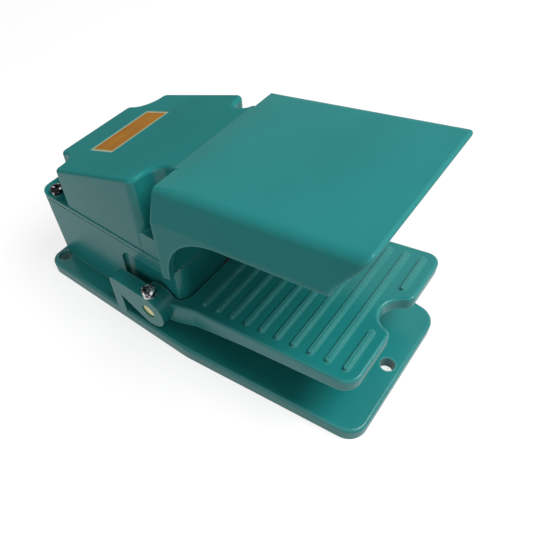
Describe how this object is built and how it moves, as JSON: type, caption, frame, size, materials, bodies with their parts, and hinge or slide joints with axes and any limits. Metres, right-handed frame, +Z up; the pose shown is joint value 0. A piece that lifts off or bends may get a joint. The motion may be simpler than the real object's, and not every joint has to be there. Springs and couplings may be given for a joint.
{
  "type": "industrial foot switch",
  "caption": "Die-cast foot switch with a hood over a ribbed, hinged pedal and a box for the switch behind it.",
  "frame": {"origin": "middle of the base plate's underside, on the floor", "axes": "+X across the switch, +Y from the toe opening to the rear wall with the cable entry, +Z up"},
  "size_m": [0.124, 0.2609, 0.1461],
  "materials": {
    "green_paint": "semi-gloss blue-green enamel over die-cast metal",
    "black_rubber": "matt moulded rubber",
    "label_foil": "bare gold-anodised foil plate",
    "zinc_steel": "zinc-plated steel sheet",
    "bright_steel": "bright nickel-plated steel",
    "bronze": "sintered bronze, oiled",
    "yellow_zinc": "yellow-passivated zinc on steel",
    "black_plastic": "moulded phenolic",
    "dark_plastic": "moulded phenolic, brown-black",
    "steel": "ground steel",
    "brass": "plain brass",
    "spring_steel": "oiled spring wire",
    "gland_plastic": "black polyamide"
  },
  "bodies": {
    "housing": {"base_casting": "green_paint", "cover_gasket": "black_rubber", "cover_casting": "green_paint", "label_plate": "label_foil", "pivot_shaft": "yellow_zinc", "shaft_seals": "black_rubber", "cover_screws_rear": "bright_steel", "cover_screws_front": "bright_steel", "cover_washers": "bright_steel", "ear_screws": "bright_steel", "ear_spring_washers": "bright_steel", "ear_flat_washers": "bright_steel", "switch_body": "black_plastic", "switch_cover": "dark_plastic", "switch_terminals": "brass", "terminal_screws": "bright_steel", "switch_bracket": "zinc_steel", "bracket_screws": "bright_steel", "switch_screws": "bright_steel", "switch_nuts": "bright_steel", "return_spring": "spring_steel", "rest_buffer": "black_rubber", "earth_screw": "brass", "gland_body": "gland_plastic", "gland_seal": "black_rubber", "gland_nut": "gland_plastic", "gland_locknut": "gland_plastic"},
    "pedal": {"pedal_casting": "green_paint", "pedal_bushes": "bronze", "lever_bush": "bronze", "actuator_lever": "zinc_steel", "lever_screws": "bright_steel"},
    "plunger": {"switch_plunger": "steel"}
  },
  "joints": [
    {"name": "pedal_hinge", "type": "hinge", "parent": "housing", "child": "pedal", "pos_m": [0, 0.0203, 0.0273], "axis": [1, 0, 0], "range_deg": [0, 7], "stiffness_Nm_per_rad": 7.3, "springref_deg": -11.46, "deforming": ["return_spring"]},
    {"name": "plunger_slide", "type": "slide", "parent": "housing", "child": "plunger", "axis": [0, 0, 1], "range_m": [0, 0.0045]}
  ],
  "couplings": [
    {"joint": "plunger_slide", "follows": "pedal_hinge", "m_per_rad": 0.0325}
  ]
}
